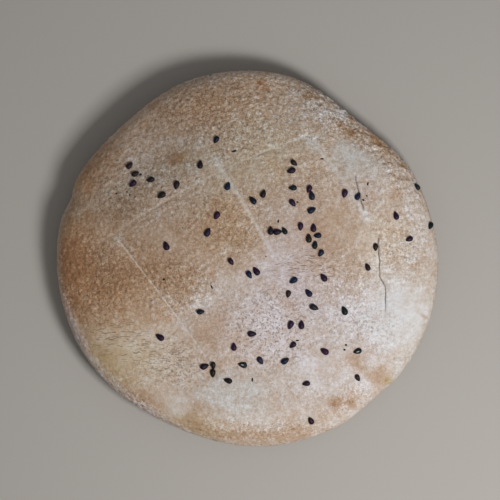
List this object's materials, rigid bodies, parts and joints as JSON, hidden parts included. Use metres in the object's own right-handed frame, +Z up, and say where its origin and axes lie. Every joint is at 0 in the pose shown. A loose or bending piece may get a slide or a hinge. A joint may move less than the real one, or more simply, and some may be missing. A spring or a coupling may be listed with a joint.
{
  "type": "round flatbread",
  "caption": "Round leavened flatbread with a domed floury top, a pressed diamond grid and scattered nigella seeds, flat underneath.",
  "frame": {"origin": "middle of the bread's outline seen from above, on the flat base that it rests on", "axes": "+Z up through the crown, +Y away from the eater, +X to the right"},
  "size_m": [0.1297, 0.128, 0.0206],
  "materials": {
    "baked_crust": "matt, floury",
    "nigella_seed": "dull black"
  },
  "bodies": {
    "root": {"flatbread": "baked_crust"}
  },
  "joints": []
}
